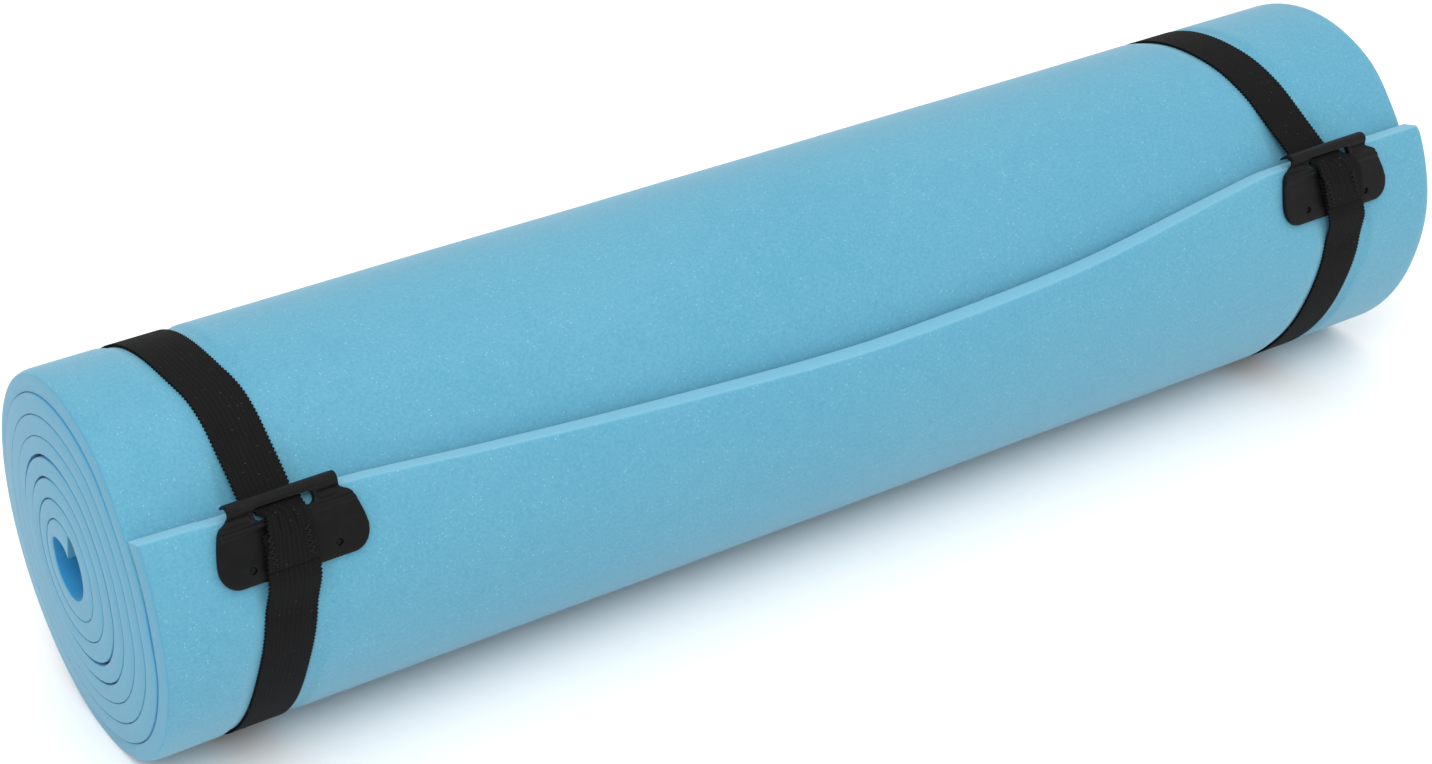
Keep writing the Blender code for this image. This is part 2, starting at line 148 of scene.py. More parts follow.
@dataclass
class Workpiece:
    """An object on the bench, shaped with operators and modifiers."""

    obj: bpy.types.Object

    @staticmethod
    def clear_selection() -> None:
        """Nothing stays selected, so that an operator acts on the next piece only."""
        bpy.ops.object.select_all(action="DESELECT")

    @classmethod
    def named(cls, name: str) -> Workpiece:
        """The object that an operator has just added, under its own name."""
        obj = bpy.context.object
        obj.name = name
        obj.data.name = name
        return cls(obj)

    @classmethod
    def grid(cls, name: str, columns: int, rows: int) -> tuple[Workpiece, Array, Array]:
        """A flat sheet of cells.

        Args:
            name: The piece's name.
            columns: How many points it has along its own X.
            rows: How many points it has along its own Y.

        Returns:
            The piece, and each vertex's column and row.
        """
        cls.clear_selection()
        bpy.ops.mesh.primitive_grid_add(x_subdivisions=columns - 1, y_subdivisions=rows - 1, size=2)
        piece = cls.named(name)
        share = (piece.points() + 1) / 2
        column = np.rint(share[:, 0] * (columns - 1)).astype(int)
        row = np.rint(share[:, 1] * (rows - 1)).astype(int)
        return piece, column, row

    @classmethod
    def swept(cls, name: str, outline: Array, sweep: Sequence[float]) -> Workpiece:
        """A solid made by extruding a closed flat outline.

        Args:
            name: The piece's name.
            outline: The outline's points in space.
            sweep: The way and the distance that it is extruded.

        Returns:
            The piece, closed and facing outwards.
        """
        cls.clear_selection()
        bpy.ops.mesh.primitive_circle_add(vertices=len(outline), fill_type="NGON")
        piece = cls.named(name)
        piece.place(outline)
        move = {"value": tuple(sweep)}
        piece.work(lambda: bpy.ops.mesh.extrude_region_move(TRANSFORM_OT_translate=move))
        piece.work(bpy.ops.mesh.normals_make_consistent)
        return piece

    @classmethod
    def pin(cls, radius: float, middle: Vector, depth: float, turn: Matrix) -> Workpiece:
        """A round pin for drilling, its length along the turned Z."""
        cls.clear_selection()
        bpy.ops.mesh.primitive_cylinder_add(
            vertices=32, radius=radius, depth=depth, location=middle, rotation=turn.to_euler()
        )
        bpy.ops.object.transform_apply(location=True, rotation=True, scale=True)
        return cls.named("pin")

    @classmethod
    def thread(cls, name: str, path: Array, radius: float) -> Workpiece:
        """A round thread along a path, made a mesh with closed ends."""
        curve = bpy.data.curves.new(name, "CURVE")
        curve.dimensions = "3D"
        curve.bevel_depth = radius
        curve.bevel_resolution = 2
        curve.use_fill_caps = True
        spline = curve.splines.new("POLY")
        spline.points.add(len(path) - 1)
        spline.points.foreach_set("co", np.hstack([path, np.ones((len(path), 1))]).ravel())
        obj = bpy.data.objects.new(name, curve)
        bpy.context.scene.collection.objects.link(obj)
        piece = cls(obj)
        piece.select()
        bpy.ops.object.convert(target="MESH")
        piece.weld()
        return piece

    def select(self) -> None:
        """Makes this the only selected object, and the active one."""
        self.clear_selection()
        self.obj.select_set(True)
        bpy.context.view_layer.objects.active = self.obj

    def work(self, step: Callable[[], Any]) -> None:
        """Does one step of work on the whole mesh, in edit mode."""
        self.select()
        bpy.ops.object.mode_set(mode="EDIT")
        bpy.ops.mesh.select_all(action="SELECT")
        step()
        bpy.ops.object.mode_set(mode="OBJECT")

    def weld(self) -> None:
        """Joins doubled points, and faces the closed shape outwards."""
        self.work(lambda: bpy.ops.mesh.remove_doubles(threshold=1e-6))
        self.work(bpy.ops.mesh.normals_make_consistent)

    def points(self) -> Array:
        """The places of the mesh's vertices, one row each."""
        flat = np.zeros(len(self.obj.data.vertices) * 3)
        self.obj.data.vertices.foreach_get("co", flat)
        return flat.reshape(-1, 3)

    def place(self, points: Array) -> None:
        """Moves every vertex to its new place."""
        self.obj.data.vertices.foreach_set("co", np.asarray(points, float).ravel())
        self.obj.data.update()

    def modify(self, kind: str, **settings: Any) -> None:
        """Adds a modifier and applies it.

        Args:
            kind: The modifier's type.
            settings: Its settings by name.
        """
        self.select()
        modifier = self.obj.modifiers.new(kind.lower(), kind)
        for name, value in settings.items():
            setattr(modifier, name, value)
        bpy.ops.object.modifier_apply(modifier=modifier.name)

    def combine(self, other: Workpiece, operation: str) -> None:
        """Joins, trims or cuts this piece with another one, which is used up."""
        self.modify("BOOLEAN", operation=operation, solver="EXACT", object=other.obj)
        bpy.data.objects.remove(other.obj, do_unlink=True)

    def scale_map(self, across: float, along: float) -> None:
        """Scales the piece's UV map, so that a weave on it has its real size."""
        layer = self.obj.data.uv_layers.active.data
        flat = np.zeros(len(layer) * 2)
        layer.foreach_get("uv", flat)
        layer.foreach_set("uv", (flat.reshape(-1, 2) * (across, along)).ravel())

    def mark(self, name: str, values: Array) -> None:
        """Keeps a number for each vertex, for a finish to read."""
        attribute = self.obj.data.attributes.new(name, "FLOAT", "POINT")
        attribute.data.foreach_set("value", np.asarray(values, np.float32))

    def outward(self) -> None:
        """Turns the faces round if the closed shape is inside out."""
        mesh = self.obj.data
        mesh.calc_loop_triangles()
        corners = np.zeros(len(mesh.loop_triangles) * 3, np.int32)
        mesh.loop_triangles.foreach_get("vertices", corners)
        a, b, c = self.points()[corners.reshape(-1, 3)].transpose(1, 0, 2)
        if np.einsum("ij,ij->i", a, np.cross(b, c)).sum() < 0:
            self.work(bpy.ops.mesh.flip_normals)

    def soften(self, angle: float = 40.0) -> None:
        """Shades the piece smooth, except over corners sharper than an angle in degrees."""
        self.select()
        bpy.ops.object.shade_smooth_by_angle(angle=math.radians(angle))

    def finish(self, body: str, slot: str, material: Material, node: str) -> None:
        """Dresses the piece and fixes it to the model.

        Args:
            body: The body that it moves with.
            slot: The record's material slot, which is not used.
            material: Its material.
            node: The plain solid that it stands for.
        """
        self.obj.data.materials.clear()
        self.obj.data.materials.append(material)
        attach(self.obj, body)
        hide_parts(node)
        LOG.info("%s: %d faces, rides on %s", self.obj.name, len(self.obj.data.polygons), body)


# --- shader graphs ---


class Socket:
    """A value in a shader graph, which takes part in plain arithmetic."""

    def __init__(self, graph: Graph, link: bpy.types.NodeSocket) -> None:
        """Wraps an output socket of a graph's node."""
        self.graph = graph
        self.link = link

    def maths(self, operation: str, first: Any, second: Any) -> Socket:
        """The result of a Math node on two values."""
        return self.graph.node("ShaderNodeMath", {"operation": operation}, {0: first, 1: second})

    def __add__(self, other: Any) -> Socket:
        """This value plus another."""
        return self.maths("ADD", self, other)

    def __sub__(self, other: Any) -> Socket:
        """This value less another."""
        return self.maths("SUBTRACT", self, other)

    def __rsub__(self, other: Any) -> Socket:
        """Another value less this one."""
        return self.maths("SUBTRACT", other, self)

    def __mul__(self, other: Any) -> Socket:
        """This value times another."""
        return self.maths("MULTIPLY", self, other)

    __radd__ = __add__
    __rmul__ = __mul__

    def above(self, level: float, softness: float) -> Socket:
        """1 where this value is above a level, 0 below it and a soft edge between."""
        settings = {"interpolation_type": "SMOOTHSTEP"}
        low, high = level - softness, level + softness
        return self.graph.node("ShaderNodeMapRange", settings, {0: self, 1: low, 2: high})


class Graph:
    """A material and its shader nodes."""

    def __init__(self, name: str) -> None:
        """Makes a material that holds only its Principled shader and its output."""
        self.material = bpy.data.materials.new(name)
        self.material.use_nodes = True
        self.tree = self.material.node_tree
        self.shader = self.tree.nodes["Principled BSDF"]

    def fill(self, target: bpy.types.NodeSocket, value: Any) -> None:
        """Links a socket to an input, or sets its constant."""
        if isinstance(value, Socket):
            self.tree.links.new(value.link, target)
        elif isinstance(value, tuple) and len(value) == 3 and target.type == "RGBA":
            target.default_value = (*value, 1.0)
        else:
            target.default_value = value

    def node(
        self,
        kind: str,
        settings: dict[str, Any] | None = None,
        sockets: dict[str | int, Any] | None = None,
        output: str | int = 0,
    ) -> Socket:
        """Adds a node.

        Args:
            kind: The node's type.
            settings: Its own settings, which are set first.
            sockets: Values or links for its inputs, by identifier, name or place.
            output: Which of its outputs is wanted.

        Returns:
            That output.
        """
        made = self.tree.nodes.new(kind)
        for name, value in (settings or {}).items():
            setattr(made, name, value)
        for name, value in (sockets or {}).items():
            self.fill(self.find(made.inputs, name), value)
        return Socket(self, self.find(made.outputs, output))

    @staticmethod
    def find(sockets: Any, name: str | int) -> bpy.types.NodeSocket:
        """A node's socket by its place, identifier or name."""
        if isinstance(name, int):
            return sockets[name]
        same = [socket for socket in sockets if socket.identifier == name]
        return same[0] if same else sockets[name]

    def place(self) -> Socket:
        """The point on the object, in metres."""
        return self.node("ShaderNodeTexCoord", output="Object")

    def noise(self, where: Socket, size: float, detail: float = 2.0, rough: float = 0.5) -> Socket:
        """Soft cloudy variation with features of a size in metres."""
        sockets = {"Vector": where, "Scale": 1 / size, "Detail": detail, "Roughness": rough}
        return self.node("ShaderNodeTexNoise", {}, sockets)

    def cells(self, where: Socket, size: float, output: str = "Distance") -> Socket:
        """Rounded cells of a size in metres."""
        return self.node("ShaderNodeTexVoronoi", {}, {"Vector": where, "Scale": 1 / size}, output)

    def blend(self, factor: Any, first: Any, second: Any) -> Socket:
        """A mix of two colours."""
        sockets = {"Factor_Float": factor, "A_Color": first, "B_Color": second}
        return self.node("ShaderNodeMix", {"data_type": "RGBA"}, sockets, "Result_Color")

    def bump(self, height: Socket, depth: float, strength: float) -> Socket:
        """A normal that follows a height, where 1 is a depth in metres."""
        sockets = {"Height": height, "Distance": depth, "Strength": strength}
        return self.node("ShaderNodeBump", {}, sockets)

    def specks(self, where: Socket, size: float, odds: Pair, radius: float) -> Socket:
        """Small round specks in cells of a size, which only cells above the odds have."""
        lot = self.node("ShaderNodeSeparateColor", {}, {0: self.cells(where, size, "Color")})
        return lot.above(*odds) * (1 - self.cells(where, size).above(radius, 0.1))

    def dress(self, **sockets: Any) -> Material:
        """Fills the shader's sockets by name, with _ for each space."""
        for name, value in sockets.items():
            self.fill(self.shader.inputs[name.replace("_", " ")], value)
        return self.material


@dataclass(frozen=True)
class FoamFinish:
    """Closed-cell foam: a soft skin of fine cells with painted glints on a few of them, and paler cut
    faces, with painted shade inside the roll and a painted highlight on the free edge's cut face.
    """

    skin: Triple = (0.044, 0.254, 0.385)
    skin_pale: Triple = (0.094, 0.304, 0.412)
    cut: Triple = (0.058, 0.268, 0.408)
    # A paler copy of the cut colour for the free edge's cut face: a painted highlight on its lit
    # band.
    edge: Triple = (0.150, 0.395, 0.520)
    # Deep saturated blue for the faces inside the roll, the hollow and the gaps between turns:
    # painted shade.
    inside: Triple = (0.020, 0.250, 0.510)
    # Pale colour of the painted glints: bright specks of light painted on a few cells.
    painted_glint: Triple = (0.50, 0.80, 0.92)
    cell_size: float = 0.9 * MM
    cell_depth: float = 0.05 * MM
    cell_light: float = 0.07
    glint_size: float = 0.62 * MM
    glint_odds: Pair = (0.945, 0.02)
    glint_radius: float = 0.3
    painted_glint_share: float = 0.36
    mottle_size: float = 9 * MM
    drift_size: float = 90 * MM
    roughness: float = 0.62
    # Masks that paint over the skin: painted shade inside the roll, the cut faces' paler colour, and
    # a painted highlight on the free edge.
    masks: tuple[tuple[str, float], ...] = (("inside", 1.0), ("cut", 0.85), ("edge", 0.85))

    def make(self) -> Material:
        """Makes the foam's material."""
        graph = Graph("closed_cell_foam")
        where = graph.place()
        fine = graph.noise(where, self.cell_size, detail=3, rough=0.6)
        mottle = graph.noise(where, self.mottle_size, detail=4, rough=0.6)
        drift = graph.noise(where, self.drift_size, detail=2)
        cell = graph.cells(where, self.cell_size)
        # Painted glints: a few cells get bright specks of painted light, which are also made less
        # rough.
        painted_glint = graph.specks(where, self.glint_size, self.glint_odds, self.glint_radius)
        painted_glint = painted_glint * (0.35 + mottle.above(0.5, 0.12) * 0.65)
        colour = graph.blend(mottle * 0.5 + drift * 0.5, self.skin, self.skin_pale)
        colour = graph.blend(fine.above(0.5, 0.25) * self.cell_light, colour, self.painted_glint)
        colour = graph.blend(painted_glint * self.painted_glint_share, colour, self.painted_glint)
        # Each mask paints its colour over the skin; the inside mask paints shade and the edge mask
        # paints a highlight.
        for name, share in self.masks:
            mask = graph.node("ShaderNodeAttribute", {"attribute_name": name}, {}, "Fac")
            colour = graph.blend(mask * share, colour, getattr(self, name))
        height = fine * 0.7 + cell * 0.5
        return graph.dress(
            Base_Color=colour,
            Roughness=self.roughness + mottle * 0.12 - painted_glint * 0.3,
            Normal=graph.bump(height, self.cell_depth, 0.6),
            Sheen_Weight=0.2,
            Sheen_Roughness=0.5,
            Specular_IOR_Level=0.3,
        )


@dataclass(frozen=True)
class PlasticFinish:
    """Black moulded plastic with a satin, finely grained skin and pale handling marks."""

    base: Triple = (0.0022, 0.0023, 0.0026)
    worn: Triple = (0.018, 0.017, 0.016)
    grain_size: float = 0.45 * MM
    grain_depth: float = 0.03 * MM
    cloud_size: float = 7 * MM
    scratch_size: float = 0.5 * MM
    scratch_stretch: Triple = (0.08, 1.0, 1.0)
    roughness: float = 0.36

    def make(self) -> Material:
        """Makes the clips' material."""
        graph = Graph("moulded_plastic")
        where = graph.place()
        grain = graph.noise(where, self.grain_size, detail=2, rough=0.6)
        cloud = graph.noise(where, self.cloud_size, detail=4, rough=0.65)
        sockets = {"Vector": where, "Scale": self.scratch_stretch}
        stretched = graph.node("ShaderNodeMapping", {}, sockets)
        scratch = graph.noise(stretched, self.scratch_size, detail=3, rough=0.7).above(0.66, 0.03)
        marks = scratch * cloud.above(0.5, 0.12)
        worn = marks * 0.45 + cloud.above(0.62, 0.2) * 0.2
        return graph.dress(
            Base_Color=graph.blend(worn, self.base, self.worn),
            Roughness=self.roughness + cloud * 0.16 + grain * 0.06 + marks * 0.1,
            Normal=graph.bump(grain + marks * 0.3, self.grain_depth, 0.5),
            Specular_IOR_Level=0.14,
        )


@dataclass(frozen=True)
class ElasticFinish:
    """Knitted elastic: close ribs across the band, covered rubber cords along it, and painted glints.
    """

    yarn: Triple = (0.0092, 0.0092, 0.0098)
    dark: Triple = (0.0018, 0.0018, 0.0020)
    # Pale colour of the painted glints on the knit.
    painted_glint_tint: Triple = (0.075, 0.080, 0.085)
    rib_pitch: float = 0.68
    cord_pitch: float = 1.04
    stagger: float = 1.4
    wobble_size: float = 3.0
    fuzz_size: float = 0.35
    glint_speck_size: float = 0.55
    glint_speck_odds: Pair = (0.975, 0.01)
    glint_speck_radius: float = 0.25
    knit_depth: float = 0.14 * MM

    def make(self) -> Material:
        """Makes the straps' material. Its map and sizes are in mm, across and along the strap."""
        graph = Graph("knitted_elastic")
        where = graph.node("ShaderNodeTexCoord", output="UV")
        across = graph.node("ShaderNodeSeparateXYZ", {}, {0: where}, "X")
        along = graph.node("ShaderNodeSeparateXYZ", {}, {0: where}, "Y")
        wobble = graph.noise(where, self.wobble_size, detail=2) * 0.15
        cords = self.wave(graph, across * (math.tau / self.cord_pitch))
        stagger = self.wave(graph, across * (math.pi / self.cord_pitch)) * self.stagger
        ribs = self.wave(graph, (along + wobble) * (math.tau / self.rib_pitch) + stagger)
        fuzz = graph.noise(where, self.fuzz_size, detail=3, rough=0.7)
        knit = ribs * 0.6 + cords * 0.4
        # Painted glints: small bright specks, and a faint lightening where the fuzz is high.
        glint_specks = graph.specks(where, self.glint_speck_size, self.glint_speck_odds, self.glint_speck_radius)
        colour = graph.blend(knit * 0.8 + fuzz * 0.2, self.dark, self.yarn)
        colour = graph.blend(glint_specks * 0.7 + fuzz.above(0.7, 0.06) * 0.08, colour, self.painted_glint_tint)
        return graph.dress(
            Base_Color=colour,
            Roughness=0.72 + fuzz * 0.16,
            Normal=graph.bump(knit + fuzz * 0.35, self.knit_depth, 0.8),
            Specular_IOR_Level=0.10,
        )

    @staticmethod
    def wave(graph: Graph, phase: Socket) -> Socket:
        """A sine of a phase, brought between 0 and 1."""
        return graph.node("ShaderNodeMath", {"operation": "SINE"}, {0: phase}) * 0.5 + 0.5


@dataclass(frozen=True)
class ThreadFinish:
    """Black sewing thread of twisted filaments."""

    base: Triple = (0.004, 0.004, 0.004)
    ply: Triple = (0.012, 0.012, 0.013)
    ply_turn: Triple = (0.6, 0.5, 0.8)
    ply_count: float = 900.0
    ply_depth: float = 0.05 * MM
    fuzz_size: float = 0.2 * MM

    def make(self) -> Material:
        """Makes the stitches' material."""
        graph = Graph("sewing_thread")
        where = graph.place()
        sockets = {"Vector": where, "Rotation": self.ply_turn}
        turned = graph.node("ShaderNodeMapping", {}, sockets)
        sockets = {"Vector": turned, "Scale": self.ply_count, "Distortion": 1.5}
        twist = graph.node("ShaderNodeTexWave", {}, sockets)
        fuzz = graph.noise(where, self.fuzz_size, detail=2)
        return graph.dress(
            Base_Color=graph.blend(twist * 0.7 + fuzz * 0.3, self.base, self.ply),
            Roughness=0.55 + fuzz * 0.2,
            Normal=graph.bump(twist, self.ply_depth, 0.7),
            Specular_IOR_Level=0.2,
        )


# --- the mat's winding ---


@dataclass(frozen=True)
class Winding:
    """How the mat is wound: the radii of its two faces at any number of turns."""

    mat_width: float = 500 * MM
    outer_size: float = 64.5 * MM
    pitch: float = 6.45 * MM
    gap: float = 0.14 * MM
    turns: float = 7.88
    axis_height: float = 62.0 * MM
    edge_angle: float = 34.3
    edge_slant: float = 0.95
    oval: float = 1.1 * MM
    oval_angle: float = 108.0
    core_shift: float = 1.3 * MM
    core_angle: float = 195.0
    core_curl: float = 3.2 * MM
    core_corner: float = 1.4 * MM
    core_corner_turn: float = 7.66
    core_corner_reach: float = 0.1
    telescope: float = 3.7 * MM
    edge_lift: float = 1.4 * MM
    lift_end: Pair = (0.06, 0.15)
    edge_dip: float = 1.6 * MM
    dip_rise: Pair = (-0.08, -0.02)
    dip_fall: Pair = (0.07, 0.13)
    back_space: float = 1.9 * MM
    space_end: Pair = (0.068, 0.12)
    tight_share: float = 0.7
    tight_part: Pairs = ((0.26, 0.36), (0.62, 0.84))
    tight_turns: Pairs = ((1.1, 1.3), (4.6, 4.8))
    loose_gaps: tuple[Triple, ...] = (
        (0.35, 0.30, 0.15 * MM),
        (3.27, 0.10, 0.50 * MM),
        (3.76, 0.16, 0.90 * MM),
        (4.02, 0.25, 0.30 * MM),
        (4.27, 0.16, 0.80 * MM),
        (4.75, 0.10, 0.50 * MM),
        (5.60, 0.45, 0.30 * MM),
        (6.60, 0.40, 0.25 * MM),
    )

    def angle(self, turn: Array) -> Array:
        """The angle round the roll, in degrees, at a number of turns."""
        return self.edge_angle - 360 * np.asarray(turn, float)

    def turn(self, angle: Array) -> Array:
        """The number of turns at an angle that falls all the way round."""
        return (self.edge_angle - np.asarray(angle, float)) / 360

    def length(self, turn: Array) -> Array:
        """How far along the unrolled mat a number of turns is."""
        return math.tau * (self.outer_size * turn - self.pitch * turn**2 / 2)

    def turn_at(self, length: Array) -> Array:
        """The number of turns at a distance along the unrolled mat."""
        rest = self.outer_size**2 - self.pitch * np.asarray(length, float) / math.pi
        return (self.outer_size - np.sqrt(rest)) / self.pitch

    def outer(self, turn: Array) -> Array:
        """The radius of the mat's outer face."""
        turn = np.asarray(turn, float)
        turned = np.radians(self.angle(turn))
        depth = turn / (self.turns + 1)
        radius = self.outer_size - self.pitch * turn
        radius += self.oval * (1 - depth) * np.cos(2 * (turned - math.radians(self.oval_angle)))
        shift = self.core_shift * (turn / 8) ** 4
        radius += shift * np.cos(turned - math.radians(self.core_angle))
        lifted = self.edge_lift * (1 - smooth_step(turn, *self.lift_end))
        pressed = self.edge_dip * (1 - depth)
        pressed = pressed * window(turn - np.round(turn), self.dip_rise, self.dip_fall)
        return radius + np.where(turn < 0.5, lifted, -pressed)

    def inner(self, turn: Array) -> Array:
        """The radius of the mat's inner face, clear of the next turn and of the back plates."""
        turn = np.asarray(turn, float)
        space = self.back_space * (1 - smooth_step(turn, *self.space_end))
        space = np.where(turn < 0.5, space, 0.0)
        for centre, reach, width in self.loose_gaps:
            space = space + width * swell(turn, centre, reach)
        ended = (turn - self.core_corner_turn) / (self.turns - self.core_corner_turn)
        curl = self.core_curl * np.clip(ended, 0, 1)
        curl -= self.core_corner * swell(turn, self.core_corner_turn, self.core_corner_reach)
        gap = self.gap * (1 - self.tight_share * self.tightness(turn))
        return self.outer(turn + 1) + gap + space - curl

    def tightness(self, turn: Array) -> Array:
        """How closely the turns press on each other down the roll's back, from 0 to 1."""
        turn = np.asarray(turn, float)
        down_back = window(turn - np.floor(turn), *self.tight_part)
        return down_back * window(turn, *self.tight_turns)

    @staticmethod
    def across(angle: Array, radius: Array) -> tuple[Array, Array]:
        """The y and z of a place round the axis, from the axis."""
        turned = np.radians(angle)
        return -radius * np.cos(turned), radius * np.sin(turned)

    @staticmethod
    def frame(angle: float) -> tuple[Vector, Vector]:
        """The directions up the roll's skin and out of it, at an angle."""
        turned = math.radians(angle)
        up = Vector((0, math.sin(turned), math.cos(turned)))
        return up, Vector((0, -math.cos(turned), math.sin(turned)))


@dataclass(frozen=True)
class StrapLine:
    """Where a strap and its clip lie along the roll."""

    side: Side
    clip_centre: float
    fold: Pair
    strays: Pairs

    def stray(self, angle: Array) -> Array:
        """How far the strap lies from its clip's centre, at an angle on its way round."""
        curve = smooth_curve(self.strays, 12)
        return np.interp(-np.asarray(angle, float), -curve[:, 0], curve[:, 1]) * MM


STRAP_LINES = (
    StrapLine(
        Side.NEAR,
        -206.5 * MM,
        (2.8, 0.0),
        (
            (35, -2.0), (15, -2.2), (-2, -4.4), (-31, -8.0), (-90, -9.6), (-180, -8.6),
            (-264, -6.0), (-290, -2.6), (-310, -2.0), (-325, -2.0),
        ),
    ),
    StrapLine(
        Side.FAR,
        203.0 * MM,
        (1.5, 2.8),
        (
            (35, -2.0), (25, 0.4), (15, 2.7), (5, 4.2), (-28, 0.4), (-90, -4.0), (-180, -8.6),
            (-255, -10.4), (-286, -7.4), (-307, -4.6), (-325, -2.0),
        ),
    ),
)


@dataclass
class RolledMat:
    """The foam mat: a flat strip with soft edges, rolled up and pressed in by its straps."""

    winding: Winding
    lines: tuple[StrapLine, ...]
    thickness: float = 7.0 * MM
    rim: float = 0.35 * MM
    rim_places: tuple[float, ...] = (0.0, 0.8, 1.4, 2.1, 3.0, 4.2, 5.6, 8.5)
    edge_places: tuple[float, ...] = (0.0, 0.9, 1.7, 2.7)
    fill_step: float = 14 * MM
    groove_places: tuple[float, ...] = (
        -30, -24, -19, -15, -12.4, -11.2, -10.2, -9.2, -8.5, -5, 0, 6, 12.0,
        12.8, 13.8, 15, 17, 22, 30,
    )
    groove_hold: Pairs = ((-30 * MM, -15 * MM), (17 * MM, 30 * MM))
    groove_turns: Pairs = ((0.045, 0.06), (0.99, 1.01))
    follow_end: Pair = (1.0, 1.12)
    groove_depth: float = 0.9 * MM
    rise: Pair = (-12.4 * MM, -8.5 * MM)
    fall: Pair = (12.0 * MM, 15.0 * MM)
    strap_lift: float = 1.3 * MM
    outer_rim_soft: float = 0.85 * MM
    inner_rim_soft: float = 0.06 * MM
    rim_reach: float = 3.2 * MM
    edge_soft: float = 0.8 * MM
    edge_reach: float = 4 * MM
    outer_turns: int = 2
    outer_steps: int = 96
    inner_steps: int = 48
    core_turns: int = 7
    bow_end: Pair = (0.0, 0.085)
    skin_end: Pair = (0.88, 1.06)
    shown_end: Pair = (1.03, 1.08)
    near_setback: float = 0.4 * MM
    setback_end: Pair = (-250 * MM, -235 * MM)
    settled_end: Pair = (-248 * MM, -229 * MM)
    settled_by: float = 1.6 * MM
    sway: float = 0.16 * MM
    sway_sizes: Triple = (55 * MM, 40 * MM, 40 * MM)
    bow_points: Pairs = (
        (-250, -1.3), (-232, -0.6), (-220, 0.0), (-190, 0.0), (-175, 0.9), (-146, 3.8),
        (-120, 6.1), (-87, 8.8), (-45, 11.7), (-18, 13.3), (13, 14.0), (62, 12.6), (100, 10.1),
        (145, 4.1), (170, 1.0), (183, 0.0), (250, 0.0),
    )

    def columns(self) -> Array:
        """The flat mat's lines across its width: close at its ends and at each strap."""
        half = self.winding.mat_width / 2
        rims = np.array(self.rim_places) * MM
        grooves = [line.clip_centre + np.array(self.groove_places) * MM for line in self.lines]
        start, end = grooves[0][-1], grooves[1][0]
        middle = np.linspace(start, end, round((end - start) / self.fill_step) + 1)[1:-1]
        return np.sort(np.concatenate([rims - half, half - rims, *grooves, middle]))

    def rows(self) -> Array:
        """The flat mat's lines along its length, close at its free edge and on its outer turns."""
        edge = np.array(self.edge_places) * MM
        outer, inner = self.outer_steps, self.inner_steps
        first = np.arange(1, self.outer_turns * outer) / outer
        middle = np.arange(self.outer_turns * inner, self.core_turns * inner) / inner
        core = np.arange(self.core_turns * outer, self.winding.turns * outer) / outer
        turns = [first, middle, core, [self.winding.turns]]
        return np.concatenate([edge, self.winding.length(np.concatenate(turns))])

    def bow(self, x: Array) -> Array:
        """How far the free edge is drawn back at a place along the roll."""
        curve = smooth_curve(self.bow_points, 10) * MM
        return np.interp(x, curve[:, 0], curve[:, 1])

    def groove(self, x: Array, turn: Array) -> tuple[Array, Array]:
        """The straps' grooves.

        Args:
            x: Flat places across the mat's width.
            turn: Turns from the free edge.

        Returns:
            How far each place is pushed along X, to follow the strap, and how deep it is
            pressed, as a share of the groove's depth.
        """
        pushed = np.zeros_like(x)
        pressed = np.zeros_like(x)
        under = window(turn, *self.groove_turns)
        follow = 1 - smooth_step(turn, *self.follow_end)
        for line in self.lines:
            offset = x - line.clip_centre
            held = window(offset, *self.groove_hold)
            pushed += line.stray(self.winding.angle(turn)) * held * follow
            pressed += window(offset, self.rise, self.fall) * under
        return pushed, pressed

    def sway_at(self, places: Array) -> Array:
        """The slow unevenness of a soft skin, from -1 to 1, at places in space."""
        return np.array([noise.noise(Vector(point)) for point in places / self.sway_sizes])

    def squared(self, flat: Array) -> Array:
        """Squares the soft rims where two turns press together, so that no line shows there."""
        flat = flat.copy()
        half = self.winding.mat_width / 2
        turn = self.winding.turn_at(flat[:, 1])
        from_end = half - np.abs(flat[:, 0])
        upper = flat[:, 2] > self.thickness / 2
        from_face = np.where(upper, self.thickness - flat[:, 2], flat[:, 2])
        near_rim = (from_end < self.rim) & (from_face < self.rim)
        tight = self.winding.tightness(np.where(upper, turn - 1, turn))
        moved = np.where(near_rim, np.minimum(from_end, from_face) * tight, 0.0)
        flat[:, 0] += np.sign(flat[:, 0]) * moved
        flat[:, 2] += np.where(upper, moved, -moved)
        return flat

    def rolled(self, flat: Array) -> Array:
        """Rolls the flat mat up.

        Args:
            flat: Places on the flat mat: across its width, along it, and up from its inner face.

        Returns:
            Their places on the roll.
        """
        winding = self.winding
        height = np.clip(flat[:, 2] / self.thickness, 0.0, 1.0)
        turn = winding.turn_at(flat[:, 1])
        from_end = winding.mat_width / 2 - np.abs(flat[:, 0])
        held = 1 - smooth_step(turn, *self.bow_end)
        drawn = self.bow(flat[:, 0]) / (math.tau * winding.outer_size)
        slant = winding.edge_slant / 360 * (2 * height - 1)
        placed = turn + held * (drawn + slant)
        pushed, pressed = self.groove(flat[:, 0], turn)
        outermost = 1 - smooth_step(turn, *self.skin_end)
        soft = self.inner_rim_soft + (self.outer_rim_soft - self.inner_rim_soft) * outermost
        outside = winding.outer(placed)
        outside -= soft * np.clip(1 - from_end / self.rim_reach, 0, 1) ** 2
        outside -= self.edge_soft * np.clip(1 - flat[:, 1] / self.edge_reach, 0, 1) ** 2
        outside -= self.groove_depth * pressed
        y, z = winding.across(winding.angle(placed), outside)
        uneven = self.sway_at(np.stack([flat[:, 0], y, z], axis=1))
        outside += self.sway * uneven * outermost * (1 - pressed)
        inside = winding.inner(placed)
        settled = 1 - smooth_step(flat[:, 0], *self.settled_end)
        settled *= self.settled_by * (1 - smooth_step(turn, *winding.space_end))
        outside -= settled
        inside -= settled
        radius = inside + (outside - inside) * height
        y, z = winding.across(winding.angle(placed), radius)
